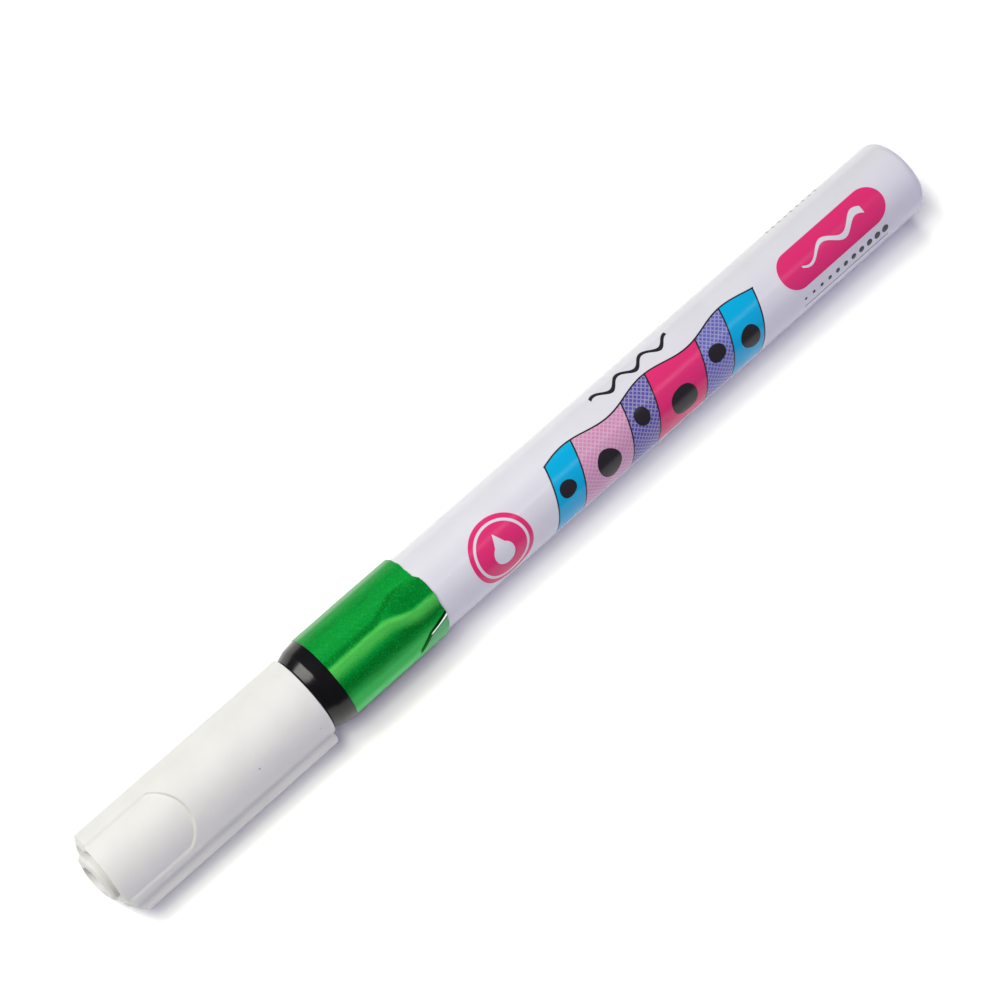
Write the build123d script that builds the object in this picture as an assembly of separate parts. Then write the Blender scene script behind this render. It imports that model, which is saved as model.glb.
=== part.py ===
from build123d import *
import math
import os

# Paint marker lying along X: cap at -X, rear of the barrel at +X, Z up.
# The origin is on the axis, half way along the barrel's plain wall.
# All lengths are in millimetres.

# Shared clearances
fit_gap = 0.03
running_gap = 0.05
seat_gap = 0.02
loose_gap = 0.1
cut_overrun = 1.0

# Barrel: drawn can with a closed rear and a necked front
barrel_radius = 5.5
barrel_wall = 0.4
barrel_plain_length = 84.0
barrel_base_thickness = 0.9
barrel_edge_round = 0.8
barrel_neck_drop = 0.55
barrel_mouth_setback = 1.45

# Colour band: film sleeve over the section's skirt
band_length = 15.0
band_thickness = 0.1
band_end_gap = 0.1

# Front section: skirt, collar, neck for the cap and nose
skirt_step = 0.24
collar_step = 0.4
collar_taper = 0.2
collar_shoulder_width = 0.7
collar_band_length = 1.75
collar_bevel_length = 1.4
neck_length = 8.6
neck_chamfer = 0.4
neck_bead_width = 0.9
neck_bead_height = 0.06
nose_base_drop = 1.1
nose_cone_length = 6.2
nose_seal_radius = 2.0
nose_seal_length = 3.2
nose_tip_round = 0.4

# Nib: fibre rod with a tapered, rounded tip
nib_radius = 1.1
nib_stub = 2.1
nib_travel = 1.5
nib_taper_length = 1.9
nib_tip_radius = 0.5

# Wick ring round the nib
wick_wall = 0.5
wick_length = 6.0

# Valve body: seat wall, flange and slotted cage
valve_radius = 3.25
valve_front_length = 2.2
valve_front_radius = 2.3
seat_wall_thickness = 1.2
seat_setback = 2.1
seat_hole_radius = 1.4
seat_lip_width = 0.45
seat_lip_height = 0.5
valve_chamber_radius = 2.6
flange_thickness = 1.0
cage_length = 10.4
cage_window_count = 4
cage_window_width = 2.0
cage_window_length = 6.4
cage_window_lead = 1.6
guide_length = 1.6
guide_flute_count = 4
guide_flute_radius = 0.45

# Gasket between the flange and the barrel's mouth
gasket_thickness = 0.6
gasket_lap = 0.2

# Plunger with its washer, spring and retainer
plunger_rod_radius = 0.95
plunger_head_radius = 2.3
plunger_head_thickness = 1.1
plunger_guide_radius = 0.8
plunger_guide_reach = 0.9
washer_radius = 2.2
washer_thickness = 0.8
spring_coil_radius = 1.55
spring_wire_radius = 0.2
spring_turns = 6
retainer_thickness = 1.2

# Mixing ball
ball_radius = 2.5
ball_rest_gap = 1.2
ball_rest_angle = 49.0

# Cap shell: tube, rib, panels, coned end and boss
cap_step = 0.1
cap_wall = 1.0
cap_length = 30.9
cap_mouth_gap = 0.1
cap_mouth_round = 0.3
cap_end_wall = 1.2
cap_cone_length = 1.1
cap_cone_radius = 3.3
boss_length = 1.05
boss_base_radius = 2.9
boss_tip_radius = 2.35
boss_tip_round = 0.3
boss_hole_radius = 1.7
rib_reach = 1.35
rib_width = 2.2
rib_round = 0.35
rib_slope_lead = 0.6
rib_slope_run = 1.58
rib_slope_foot = 0.75
rib_mouth_inset = 0.4
rib_fall_angle = 20.0
panel_half_width = 4.25
panel_depth = 0.22
panel_length = 11.9
panel_arch_length = 2.4
panel_edge_offset = 1.75
vent_half_angle = 52.0

# Inner cap: sealing cup on a stem
inner_cap_wall = 0.75
inner_cap_lip_gap = 0.3
inner_cap_nib_gap = 0.6
inner_cap_tip_gap = 1.2
inner_cap_floor = 1.0
inner_cap_stem_radius = 2.2
inner_cap_spigot_depth = 1.4

# Stations along the axis
plain_front_x = -barrel_plain_length / 2
plain_rear_x = barrel_plain_length / 2
rear_x = plain_rear_x + barrel_edge_round
band_front_x = plain_front_x - band_length
band_rear_x = plain_front_x - band_end_gap
shoulder_front_x = plain_front_x - barrel_neck_drop
barrel_mouth_x = band_front_x + barrel_mouth_setback
skirt_rear_x = shoulder_front_x - running_gap
gasket_front_x = barrel_mouth_x - gasket_thickness
flange_front_x = gasket_front_x - flange_thickness
bevel_rear_x = band_front_x - collar_band_length
shoulder_x = bevel_rear_x - collar_bevel_length
neck_front_x = shoulder_x - neck_length
nose_seal_x = neck_front_x - nose_cone_length
nose_tip_x = nose_seal_x - nose_seal_length
nib_tip_x = nose_tip_x - nib_stub - nib_travel

# Stations of the valve, from its flange
seat_wall_rear_x = flange_front_x - seat_setback
seat_wall_front_x = seat_wall_rear_x - seat_wall_thickness
guide_rear_x = seat_wall_front_x - valve_front_length
valve_front_x = guide_rear_x - guide_length
seat_x = seat_wall_rear_x + seat_lip_height
washer_front_x = seat_x + seat_gap
washer_rear_x = washer_front_x + washer_thickness
head_rear_x = washer_rear_x + plunger_head_thickness
cage_rear_x = gasket_front_x + cage_length
retainer_front_x = cage_rear_x - retainer_thickness
nib_rear_x = guide_rear_x
wick_rear_x = valve_front_x - seat_gap
wick_front_x = wick_rear_x - wick_length

# Stations of the cap, from its mouth
cap_mouth_x = shoulder_x - cap_mouth_gap
cap_corner_x = cap_mouth_x - cap_length
cone_front_x = cap_corner_x - cap_cone_length
boss_tip_x = cone_front_x - boss_length
panel_edge_x = boss_tip_x + panel_edge_offset
cap_floor_x = cap_corner_x + cap_end_wall

# Radii that follow from the barrel and the cap
barrel_bore_radius = barrel_radius - barrel_wall
barrel_neck_radius = barrel_radius - barrel_neck_drop
barrel_neck_bore_radius = barrel_neck_radius - barrel_wall
skirt_radius = barrel_radius + skirt_step
collar_radius = barrel_radius + collar_step
collar_bevel_radius = collar_radius - collar_taper
band_inner_radius = skirt_radius + seat_gap
cap_radius = barrel_radius + cap_step
cap_bore_radius = cap_radius - cap_wall
neck_radius = cap_bore_radius - neck_bead_height - running_gap
collar_shoulder_radius = neck_radius + collar_shoulder_width
nose_base_radius = neck_radius - nose_base_drop

# Radii that follow from the fits
nib_bore_radius = nib_radius + running_gap
wick_inner_radius = nib_radius + loose_gap
wick_radius = wick_inner_radius + wick_wall
wick_bore_radius = wick_radius + fit_gap
valve_bore_radius = valve_radius + fit_gap
skirt_bore_radius = barrel_neck_radius + fit_gap
gasket_inner_radius = barrel_neck_bore_radius - gasket_lap
inner_cap_bore_radius = nose_seal_radius + running_gap
inner_cap_radius = inner_cap_bore_radius + inner_cap_wall
inner_cap_nib_radius = nib_radius + inner_cap_nib_gap
inner_cap_spigot_radius = boss_hole_radius - fit_gap


def turned(outline):
    """Solid of revolution about X of a closed outline of (x, radius) points."""
    face = make_face(Polyline(*outline, close=True))
    return revolve(face, Axis.X)


def rod(front_x, rear_x, radius):
    """Plain cylinder on the X axis."""
    return turned([(front_x, 0), (rear_x, 0), (rear_x, radius), (front_x, radius)])


def ring(front_x, rear_x, inner_radius, outer_radius):
    """Plain tube on the X axis."""
    return turned([
        (front_x, inner_radius),
        (rear_x, inner_radius),
        (rear_x, outer_radius),
        (front_x, outer_radius),
    ])


def ring_sector(front_x, rear_x, inner_radius, outer_radius, half_angle):
    """Part of a tube on the X axis, centred on +Z."""
    face = make_face(Polyline(
        (front_x, inner_radius),
        (rear_x, inner_radius),
        (rear_x, outer_radius),
        (front_x, outer_radius),
        close=True,
    ))
    sector = revolve(face, Axis.X, revolution_arc=2 * half_angle)
    return Rot(90 - half_angle, 0, 0) * sector


def edges_at(shape, x, radius):
    """Circular edges of a turned shape at one station and radius."""
    tolerance = seat_gap / 2
    found = []
    for edge in shape.edges().filter_by(GeomType.CIRCLE):
        if abs(edge.arc_center.X - x) < tolerance and abs(edge.radius - radius) < tolerance:
            found.append(edge)
    return found


def make_barrel():
    """Can with a thin wall, a closed rounded rear and a necked front."""
    floor_x = rear_x - barrel_base_thickness
    can = turned([
        (barrel_mouth_x, barrel_neck_bore_radius),
        (shoulder_front_x + barrel_wall, barrel_neck_bore_radius),
        (plain_front_x + barrel_wall, barrel_bore_radius),
        (floor_x, barrel_bore_radius),
        (floor_x, 0),
        (rear_x, 0),
        (rear_x, barrel_radius),
        (plain_front_x, barrel_radius),
        (shoulder_front_x, barrel_neck_radius),
        (barrel_mouth_x, barrel_neck_radius),
    ])
    can = fillet(edges_at(can, rear_x, barrel_radius), barrel_edge_round)
    return fillet(edges_at(can, floor_x, barrel_bore_radius), barrel_edge_round / 2)


def make_colour_band():
    """Film sleeve from the collar to just short of the barrel's plain wall."""
    outer_radius = band_inner_radius + band_thickness
    return ring(band_front_x + seat_gap, band_rear_x, band_inner_radius, outer_radius)


def make_front_section():
    """Skirt, collar, neck and nose in one moulding, with its stepped bore."""
    outer = turned([
        (nose_tip_x, 0),
        (nose_tip_x, nose_seal_radius - nose_tip_round),
        (nose_tip_x + nose_tip_round, nose_seal_radius),
        (nose_seal_x, nose_seal_radius),
        (neck_front_x, nose_base_radius),
        (neck_front_x, neck_radius - neck_chamfer),
        (neck_front_x + neck_chamfer, neck_radius),
        (shoulder_x, neck_radius),
        (shoulder_x, collar_shoulder_radius),
        (bevel_rear_x, collar_bevel_radius),
        (band_front_x, collar_radius),
        (band_front_x, skirt_radius),
        (skirt_rear_x, skirt_radius),
        (skirt_rear_x, 0),
    ])
    bead_x = neck_front_x + neck_length / 3
    bead = ring(
        bead_x,
        bead_x + neck_bead_width,
        neck_radius - neck_bead_height,
        neck_radius + neck_bead_height,
    )
    bore = turned([
        (nose_tip_x - cut_overrun, 0),
        (nose_tip_x - cut_overrun, nib_bore_radius),
        (wick_front_x - seat_gap, nib_bore_radius),
        (wick_front_x - seat_gap, wick_bore_radius),
        (valve_front_x, wick_bore_radius),
        (valve_front_x, valve_bore_radius),
        (flange_front_x, valve_bore_radius),
        (flange_front_x, skirt_bore_radius),
        (skirt_rear_x + cut_overrun, skirt_bore_radius),
        (skirt_rear_x + cut_overrun, 0),
    ])
    return outer + bead - bore


def make_nib():
    """Rod whose front tapers to a rounded tip."""
    taper_rear_x = nib_tip_x + nib_taper_length
    nib = turned([
        (nib_tip_x, 0),
        (nib_tip_x, nib_tip_radius),
        (taper_rear_x, nib_radius),
        (nib_rear_x, nib_radius),
        (nib_rear_x, 0),
    ])
    return fillet(edges_at(nib, nib_tip_x, nib_tip_radius), nib_tip_radius / 2)


def make_wick_ring():
    """Absorbent sleeve that the nib slides through."""
    return ring(wick_front_x, wick_rear_x, wick_inner_radius, wick_radius)


def make_valve_body():
    """Insert with a fluted guide, a raised seat, a flange and a slotted cage."""
    body = turned([
        (valve_front_x, nib_bore_radius),
        (guide_rear_x, nib_bore_radius),
        (guide_rear_x, valve_front_radius),
        (seat_wall_front_x, valve_front_radius),
        (seat_wall_front_x, seat_hole_radius),
        (seat_x, seat_hole_radius),
        (seat_x, seat_hole_radius + seat_lip_width),
        (seat_wall_rear_x, seat_hole_radius + 2 * seat_lip_width),
        (seat_wall_rear_x, valve_chamber_radius),
        (cage_rear_x, valve_chamber_radius),
        (cage_rear_x, valve_radius),
        (gasket_front_x, valve_radius),
        (gasket_front_x, barrel_neck_radius),
        (flange_front_x, barrel_neck_radius),
        (flange_front_x, valve_radius),
        (valve_front_x, valve_radius),
    ])
    flutes = Part()
    for index in range(guide_flute_count):
        flute = rod(valve_front_x - cut_overrun, guide_rear_x + cut_overrun, guide_flute_radius)
        flute = Pos(0, 0, nib_bore_radius) * flute
        flutes += Rot(index * 360 / guide_flute_count, 0, 0) * flute
    windows = Part()
    window_x = gasket_front_x + cage_window_lead + cage_window_length / 2
    for index in range(cage_window_count):
        window = Pos(window_x, 0, valve_radius) * Box(
            cage_window_length, cage_window_width, valve_radius
        )
        windows += Rot(index * 360 / cage_window_count, 0, 0) * window
    return body - flutes - windows


def make_flange_gasket():
    """Flat ring clamped between the flange and the barrel's mouth."""
    return ring(
        gasket_front_x, barrel_mouth_x, gasket_inner_radius, barrel_neck_radius
    )


def make_valve_plunger():
    """Rod, washer post, head and rear guide pin."""
    guide_rear = cage_rear_x + plunger_guide_reach
    return turned([
        (nib_rear_x, 0),
        (nib_rear_x, plunger_rod_radius),
        (washer_rear_x, plunger_rod_radius),
        (washer_rear_x, plunger_head_radius),
        (head_rear_x, plunger_head_radius),
        (head_rear_x, plunger_guide_radius),
        (guide_rear, plunger_guide_radius),
        (guide_rear, 0),
    ])


def make_plunger_seal():
    """Washer on the plunger, against the seat's lip."""
    return ring(
        washer_front_x, washer_rear_x, plunger_rod_radius + fit_gap, washer_radius
    )


def make_valve_spring():
    """Round wire wound on a steady helix between the head and the retainer."""
    first_x = head_rear_x + spring_wire_radius + seat_gap
    last_x = retainer_front_x - spring_wire_radius - seat_gap
    height = last_x - first_x
    path = Helix(height / spring_turns, height, spring_coil_radius)
    start = path.position_at(0)
    profile = Plane(origin=start, z_dir=path.tangent_at(0)) * Circle(spring_wire_radius)
    coil = sweep(profile, path=path, is_frenet=True)
    return Pos(first_x, 0, 0) * Rot(0, 90, 0) * coil


def make_valve_retainer():
    """Disc in the cage's rear, which guides the plunger's pin."""
    return ring(
        retainer_front_x,
        cage_rear_x,
        plunger_guide_radius + running_gap,
        valve_chamber_radius - fit_gap,
    )


def make_mixing_ball():
    """Loose ball at the rear of the barrel, a little up the lower wall on the +Y side.

    There it balances the cap's rib, so that the marker lies still.
    """
    centre_x = rear_x - barrel_base_thickness - ball_rest_gap - ball_radius
    drop = barrel_bore_radius - loose_gap - ball_radius
    return Rot(ball_rest_angle, 0, 0) * Pos(centre_x, 0, -drop) * Sphere(ball_radius)


def make_cap_rib():
    """Rib below the cap's tube, with a sloped end that runs into the end wall."""
    rib_radius = cap_radius + rib_reach
    root_radius = (cap_radius + cap_bore_radius) / 2
    foot_radius = cap_radius - rib_slope_foot
    mouth_end_x = cap_mouth_x - rib_mouth_inset
    slope_top_x = cap_corner_x + rib_slope_lead
    slope_foot_x = slope_top_x - rib_slope_run
    outline = Polyline(
        (mouth_end_x, 0, -root_radius),
        (mouth_end_x, 0, -rib_radius),
        (slope_top_x, 0, -rib_radius),
        (slope_foot_x, 0, -foot_radius),
        (cone_front_x, 0, -cap_cone_radius),
        (cap_floor_x, 0, -cap_cone_radius),
        (cap_floor_x, 0, -root_radius),
        close=True,
    )
    rib = extrude(make_face(outline), rib_width / 2, dir=(0, 1, 0), both=True)
    outer_face = rib.faces().sort_by(Axis.Z)[0]
    return fillet(outer_face.edges(), min(rib_round, rib_width / 3))


def make_panel_cut():
    """Shallow arched recess on the -Y side of the cap, open at the coned end."""
    arch_x = panel_edge_x + panel_length - panel_arch_length
    open_x = boss_tip_x - cut_overrun
    straight = Pos((open_x + arch_x) / 2, 0) * Rectangle(arch_x - open_x, 2 * panel_half_width)
    arch = Pos(arch_x, 0) * Ellipse(panel_arch_length, panel_half_width)
    outline = Plane.XZ * (straight + arch)
    prism = extrude(outline, cap_radius + cut_overrun, dir=(0, -1, 0))
    return prism - rod(open_x - cut_overrun, arch_x + panel_length, cap_radius - panel_depth)


def make_vent_cut():
    """Opening through the end wall on the -Y side, between the boss and the panel."""
    open_x = boss_tip_x - cut_overrun
    panel_half_angle = math.degrees(math.asin(panel_half_width / cap_radius))
    pocket = ring_sector(
        open_x, cap_floor_x + cut_overrun, boss_base_radius, cap_bore_radius, vent_half_angle
    )
    edge = ring_sector(
        open_x, panel_edge_x, boss_base_radius, cap_radius + cut_overrun, panel_half_angle
    )
    return Rot(90, 0, 0) * (pocket + edge)


def make_cap_shell():
    """Tube with a coned, vented end, a hollow boss, a rib and two arched panels.

    It is made with the rib straight down, then turned to the rib's angle.
    """
    shell = turned([
        (boss_tip_x, boss_hole_radius),
        (boss_tip_x, boss_tip_radius - boss_tip_round),
        (boss_tip_x + boss_tip_round, boss_tip_radius),
        (cone_front_x, boss_base_radius),
        (cone_front_x, cap_cone_radius),
        (cap_corner_x, cap_radius),
        (cap_mouth_x - cap_mouth_round, cap_radius),
        (cap_mouth_x, cap_radius - cap_mouth_round),
        (cap_mouth_x, cap_bore_radius),
        (cap_floor_x, cap_bore_radius),
        (cap_floor_x, boss_hole_radius),
    ])
    shell += make_cap_rib()
    side_cut = make_panel_cut() + make_vent_cut()
    shell -= side_cut
    shell -= Rot(180, 0, 0) * side_cut
    return Rot(rib_fall_angle - 90, 0, 0) * shell


def make_inner_cap():
    """Cup round the nose and nib, on a stem whose spigot plugs the boss."""
    lip_x = nose_seal_x - inner_cap_lip_gap
    step_x = nose_tip_x - inner_cap_lip_gap
    floor_x = nib_tip_x - inner_cap_tip_gap
    cup_front_x = floor_x - inner_cap_floor
    spigot_x = boss_tip_x + inner_cap_spigot_depth
    return turned([
        (spigot_x, 0),
        (spigot_x, inner_cap_spigot_radius),
        (cap_floor_x + seat_gap, inner_cap_spigot_radius),
        (cap_floor_x + seat_gap, inner_cap_stem_radius),
        (cup_front_x, inner_cap_stem_radius),
        (cup_front_x + inner_cap_wall, inner_cap_radius),
        (lip_x, inner_cap_radius),
        (lip_x, inner_cap_bore_radius),
        (step_x, inner_cap_bore_radius),
        (step_x, inner_cap_nib_radius),
        (floor_x, inner_cap_nib_radius),
        (floor_x, 0),
    ])


makers = {
    "barrel": make_barrel,
    "colour_band": make_colour_band,
    "front_section": make_front_section,
    "nib": make_nib,
    "wick_ring": make_wick_ring,
    "valve_body": make_valve_body,
    "flange_gasket": make_flange_gasket,
    "valve_plunger": make_valve_plunger,
    "plunger_seal": make_plunger_seal,
    "valve_spring": make_valve_spring,
    "valve_retainer": make_valve_retainer,
    "mixing_ball": make_mixing_ball,
    "cap_shell": make_cap_shell,
    "inner_cap": make_inner_cap,
}

os.makedirs("parts", exist_ok=True)
for name, maker in makers.items():
    export_step(maker(), f"parts/{name}.step")
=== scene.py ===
"""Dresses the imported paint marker: surfaces worked out on grids, finishes, light and camera."""

import logging
import math
from dataclasses import dataclass, field
from enum import Enum
from typing import Sequence, Union

import bpy
import numpy as np
from mathutils import Matrix, Vector


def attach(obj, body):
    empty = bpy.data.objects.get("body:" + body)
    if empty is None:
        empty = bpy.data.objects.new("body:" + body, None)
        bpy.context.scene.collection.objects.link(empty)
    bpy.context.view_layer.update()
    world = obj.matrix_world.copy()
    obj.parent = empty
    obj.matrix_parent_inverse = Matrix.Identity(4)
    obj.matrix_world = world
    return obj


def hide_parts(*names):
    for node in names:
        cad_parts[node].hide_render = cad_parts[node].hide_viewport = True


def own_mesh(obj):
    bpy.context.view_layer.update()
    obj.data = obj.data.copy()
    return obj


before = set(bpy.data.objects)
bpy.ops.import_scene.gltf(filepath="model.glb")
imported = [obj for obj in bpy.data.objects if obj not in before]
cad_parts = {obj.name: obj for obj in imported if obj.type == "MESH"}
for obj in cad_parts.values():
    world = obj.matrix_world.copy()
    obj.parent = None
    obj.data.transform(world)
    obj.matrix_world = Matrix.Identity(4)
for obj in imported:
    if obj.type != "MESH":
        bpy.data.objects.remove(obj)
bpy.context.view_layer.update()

LOG = logging.getLogger("marker")
MM = 0.001
TURN = 2 * math.pi
SHARP_ANGLE = math.radians(38)
VIEW_RISE = math.radians(74)  # the line that faces the viewer, up from the -Y side
RIB_FALL = math.radians(20)  # the cap's rib, down from the -Y side

Array = np.ndarray
Colour = tuple[float, float, float]
Place = tuple[float, float, float]
Span = tuple[float, float]


class Body(Enum):
    """The bodies that the modelled pieces ride."""

    HOLDER = "holder"
    CAP = "cap"
    NIB = "nib_and_plunger"


class Slot(Enum):
    """The material slots that the modelled pieces fill."""

    LACQUER = "white_lacquer"
    FILM = "green_film"
    BLACK = "black_plastic"
    NIB = "nib_fibre"
    SPRING = "spring_steel"
    WHITE = "white_plastic"


class Ink(Enum):
    """The lacquer and the inks printed on it."""

    WHITE = (0.524, 0.517, 0.568)
    PINK = (0.55, 0.025, 0.13)
    PALE_PINK = (0.46, 0.19, 0.33)
    CYAN = (0.003, 0.3, 0.53)
    VIOLET = (0.075, 0.06, 0.27)
    PERIWINKLE = (0.09, 0.09, 0.34)
    BLACK = (0.018, 0.016, 0.02)


class Tone(Enum):
    """How an ink is laid down."""

    SOLID = "solid"
    HATCHED = "hatched"


# Surfaces


@dataclass
class Skin:
    """Points in millimetres with the quads and triangles that join them."""

    points: Array
    quads: Array
    triangles: Array = field(default_factory=lambda: np.zeros((0, 3), int))

    def outward(self) -> "Skin":
        """Turns the faces round where the enclosed volume, summed over corner tetrahedra, is negative.

        Returns:
            The same skin with its faces pointing out.
        """
        halves = [self.quads[:, [0, 1, 2]], self.quads[:, [0, 2, 3]], self.triangles]
        corners = self.points[np.concatenate(halves)]
        volume = np.einsum("ij,ij->i", corners[:, 0], np.cross(corners[:, 1], corners[:, 2])).sum()
        if volume < 0:
            self.quads = self.quads[:, ::-1]
            self.triangles = self.triangles[:, ::-1]
        return self

    def to_object(self, name: str) -> bpy.types.Object:
        """Puts the skin into a smooth mesh at the origin, in metres.

        Args:
            name: Name of the object and its mesh.

        Returns:
            The linked object.
        """
        mesh = bpy.data.meshes.new(name)
        faces = self.quads.tolist() + self.triangles.tolist()
        mesh.from_pydata((self.points * MM).tolist(), [], faces)
        mesh.polygons.foreach_set("use_smooth", np.ones(len(faces), bool))
        mesh.set_sharp_from_angle(angle=SHARP_ANGLE)
        mesh.update()
        made = bpy.data.objects.new(name, mesh)
        bpy.context.scene.collection.objects.link(made)
        return made


def grid_quads(rows: int, columns: int, wrap_rows: bool, wrap_columns: bool = True) -> Array:
    """Corner numbers of a grid's quads: cell (i, j) joins rows i, i+1 and columns j, j+1.

    Args:
        rows: Count of rows of points.
        columns: Count of points in a row.
        wrap_rows: Whether the last row joins the first.
        wrap_columns: Whether the last column joins the first.

    Returns:
        Array of (rows, columns, 4) corner numbers.
    """
    i = np.arange(rows if wrap_rows else rows - 1)[:, None]
    j = np.arange(columns if wrap_columns else columns - 1)[None, :]
    below, beside = (i + 1) % rows * columns, (j + 1) % columns
    here = i * columns
    return np.stack(np.broadcast_arrays(here + j, here + beside, below + beside, below + j), -1)


def end_fans(rows: int, columns: int) -> Array:
    """Triangles from a grid's first and last rows to two poles numbered after its points.

    Args:
        rows: Count of rows of points.
        columns: Count of points in a row.

    Returns:
        Corner numbers of both fans.
    """
    k = np.arange(columns)
    onward = (k + 1) % columns
    first = rows * columns
    end = first - columns
    return np.concatenate([
        np.stack([np.full(columns, first), onward, k], -1),
        np.stack([np.full(columns, first + 1), end + k, end + onward], -1),
    ])


def ring_angles(count: int) -> Array:
    """Evenly spaced angles of a full turn."""
    return np.arange(count) * TURN / count


def rounded(corners: Sequence[Place], steps: int = 6, loop: bool = False) -> Array:
    """Profile through corners, each cut back along both sides and bridged by a quadratic curve.

    A corner C between P and Q becomes (1-s)^2 P + 2 s (1-s) C + s^2 Q.

    Args:
        corners: (x, radius, cut) of each corner in millimetres.
        steps: Points on each bridge.
        loop: Whether the last corner joins the first; otherwise the end corners stay as they are.

    Returns:
        Array of (x, radius) points.
    """
    most_of_half = 0.48
    table = np.array(corners, float)
    corner, cut = table[:, :2], table[:, 2]
    before, after = np.roll(corner, 1, 0) - corner, np.roll(corner, -1, 0) - corner
    long_before, long_after = np.linalg.norm(before, axis=1), np.linalg.norm(after, axis=1)
    cut = np.minimum(cut, most_of_half * np.minimum(long_before, long_after))
    p = corner + before * (cut / long_before)[:, None]
    q = corner + after * (cut / long_after)[:, None]
    s = np.linspace(0, 1, steps)[None, :, None]
    bridge = (1 - s) ** 2 * p[:, None] + 2 * s * (1 - s) * corner[:, None] + s**2 * q[:, None]
    if loop:
        return bridge.reshape(-1, 2)
    return np.concatenate([corner[:1], bridge[1:-1].reshape(-1, 2), corner[-1:]])


def resampled(line: Array, count: int) -> Array:
    """Points at even steps of length along a polyline.

    Args:
        line: (x, radius) points.
        count: Points wanted.

    Returns:
        Array of (x, radius) points.
    """
    reach = np.concatenate([[0], np.cumsum(np.linalg.norm(np.diff(line, axis=0), axis=1))])
    at = np.linspace(0, reach[-1], count)
    return np.stack([np.interp(at, reach, line[:, 0]), np.interp(at, reach, line[:, 1])], -1)


def level(x: Array, radius: float) -> Array:
    """Profile points at one radius."""
    return np.stack([x, np.full(len(x), radius)], -1)


def led_by(count: int, fill: float, values: Array) -> Array:
    """One row of values with that many fill values before them."""
    return np.concatenate([np.full(count, fill), values])[None, :]


def smooth_step(value: Array, low: Union[float, Array], high: Union[float, Array]) -> Array:
    """The cubic 3t^2 - 2t^3 of a value's share t of the way from low to high."""
    t = np.clip((value - low) / (high - low), 0, 1)
    return t * t * (3 - 2 * t)


def carried_round(x: Array, radius: Array, angle: Array) -> Array:
    """Points (x, -r cos a, r sin a): angle a rises from the -Y side over the top."""
    x, radius, angle = np.broadcast_arrays(x, radius, angle)
    return np.stack([x, -radius * np.cos(angle), radius * np.sin(angle)], -1)


def turned(profile: Array, columns: int, loop: bool) -> Skin:
    """Surface of revolution of a profile about X.

    An open profile starts and ends on the axis, where a fan of triangles closes it.

    Args:
        profile: (x, radius) points.
        columns: Points round the axis.
        loop: Whether the profile is a closed loop.

    Returns:
        The closed skin.
    """
    rows = profile if loop else profile[1:-1]
    points = carried_round(rows[:, :1], rows[:, 1:], ring_angles(columns)[None, :]).reshape(-1, 3)
    quads = grid_quads(len(rows), columns, loop).reshape(-1, 4)
    if loop:
        return Skin(points, quads).outward()
    poles = np.array([[profile[0, 0], 0, 0], [profile[-1, 0], 0, 0]])
    return Skin(np.concatenate([points, poles]), quads, end_fans(len(rows), columns)).outward()


# Shader maths

Number = Union[float, "Term"]


class Term:
    """A shader socket; operators on it add Math nodes."""

    def __init__(self, kit: "NodeKit", socket: bpy.types.NodeSocket) -> None:
        self.kit = kit
        self.socket = socket

    def __add__(self, other: Number) -> "Term":
        """self + other."""
        return self.kit.math("ADD", self, other)

    def __sub__(self, other: Number) -> "Term":
        """self - other."""
        return self.kit.math("SUBTRACT", self, other)

    def __rsub__(self, other: Number) -> "Term":
        """other - self."""
        return self.kit.math("SUBTRACT", other, self)

    def __mul__(self, other: Number) -> "Term":
        """self * other."""
        return self.kit.math("MULTIPLY", self, other)

    def __truediv__(self, other: Number) -> "Term":
        """self / other."""
        return self.kit.math("DIVIDE", self, other)

    def __abs__(self) -> "Term":
        """The value without its sign."""
        return self.kit.math("ABSOLUTE", self)

    __radd__ = __add__
    __rmul__ = __mul__

    def sine(self) -> "Term":
        """Sine of the value in radians."""
        return self.kit.math("SINE", self)

    def least(self, other: Number) -> "Term":
        """The smaller of two values."""
        return self.kit.math("MINIMUM", self, other)

    def most(self, other: Number) -> "Term":
        """The larger of two values."""
        return self.kit.math("MAXIMUM", self, other)

    def swing(self, width: float) -> "Term":
        """A noise from 0 to 1 as a swing of that width about zero."""
        return (self - 0.5) * width

    def rise(self, low: float, high: float) -> "Term":
        """Smooth step from 0 at low to 1 at high."""
        sockets = {"Value": self, "From Min": low, "From Max": high}
        return self.kit.term("ShaderNodeMapRange", {"interpolation_type": "SMOOTHSTEP"}, sockets)

    def fall(self, low: float, high: float) -> "Term":
        """Smooth step from 1 at low to 0 at high."""
        return 1 - self.rise(low, high)

    def under(self, limit: float, soft: float) -> "Term":
        """1 up to a limit, with a soft flank past it."""
        return self.fall(limit, limit + soft)

    def within(self, low: float, high: float, soft: float) -> "Term":
        """1 between two values, with soft flanks outside them."""
        return self.rise(low - soft, low) * self.under(high, soft)


def shade(colour: Colour, factor: float) -> Colour:
    """A colour made lighter or darker by a factor."""
    return tuple(factor * part for part in colour)


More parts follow.
